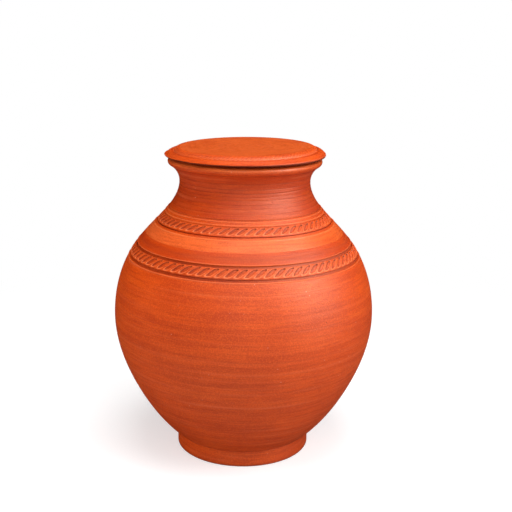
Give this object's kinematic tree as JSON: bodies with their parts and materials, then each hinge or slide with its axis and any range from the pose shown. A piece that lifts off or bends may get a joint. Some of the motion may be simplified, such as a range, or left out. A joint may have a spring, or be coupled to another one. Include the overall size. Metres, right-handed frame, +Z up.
{
  "type": "water jar",
  "caption": "Round-bellied unglazed terracotta water jar on a foot ring, with two rope-marked clay bands round its shoulder and a loose disc lid that lifts off.",
  "frame": {"origin": "middle of the foot ring's underside, on the jar's axis", "axes": "+Z up the jar's axis; the pictured side faces -Y, with +X to its right"},
  "size_m": [0.2794, 0.2794, 0.333],
  "materials": {
    "jar_terracotta": "satin",
    "foot_terracotta": "matte",
    "band_terracotta": "satin",
    "lid_terracotta": "satin",
    "collar_terracotta": "matte"
  },
  "bodies": {
    "jar": {"jar_body": "jar_terracotta", "foot_ring": "foot_terracotta", "upper_rope_band": "band_terracotta", "lower_rope_band": "band_terracotta"},
    "lid": {"lid_plate": "lid_terracotta", "lid_collar": "collar_terracotta"}
  },
  "joints": [
    {"name": "lid_lift", "type": "slide", "parent": "jar", "child": "lid", "axis": [0, 0, 1], "range_m": [0, 0.12]}
  ]
}
